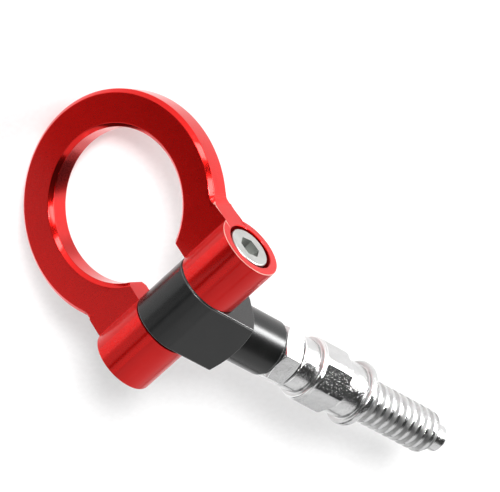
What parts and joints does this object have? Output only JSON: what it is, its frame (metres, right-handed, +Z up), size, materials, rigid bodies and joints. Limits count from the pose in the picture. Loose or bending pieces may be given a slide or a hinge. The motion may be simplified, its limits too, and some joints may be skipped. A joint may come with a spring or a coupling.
{
  "type": "tow eye",
  "caption": "Folding tow eye: a red ring shackle on a pivot bolt, a black swivel head and a plated adapter stud with a lock nut and a coarse thread.",
  "frame": {"origin": "centre of the flange's seat face, on the axis of the adapter stud", "axes": "+X along the stud towards its threaded tip, +Y along the pivot bolt towards its head, +Z up when the eye is screwed into a bumper"},
  "size_m": [0.15, 0.07, 0.0739],
  "materials": {
    "plated_stud": "bright plated steel",
    "plated_nut": "bright plated steel",
    "black_head": "satin black coated steel",
    "red_anodised": "red anodised aluminium",
    "plated_bolt": "zinc plated steel"
  },
  "bodies": {
    "stud": {"adapter_stud": "plated_stud", "lock_nut": "plated_nut"},
    "head": {"swivel_head": "black_head"},
    "ring": {"ring_shackle": "red_anodised", "pivot_bolt": "plated_bolt"}
  },
  "joints": [
    {"name": "head_turn", "type": "hinge", "parent": "stud", "child": "head", "pos_m": [-0.05, 0, 0], "axis": [1, 0, 0], "range_deg": [-180, 180]},
    {"name": "ring_swing", "type": "hinge", "parent": "head", "child": "ring", "pos_m": [-0.07095, 0, 0], "axis": [0, 1, 0], "range_deg": [-101.6, 218.4]}
  ]
}
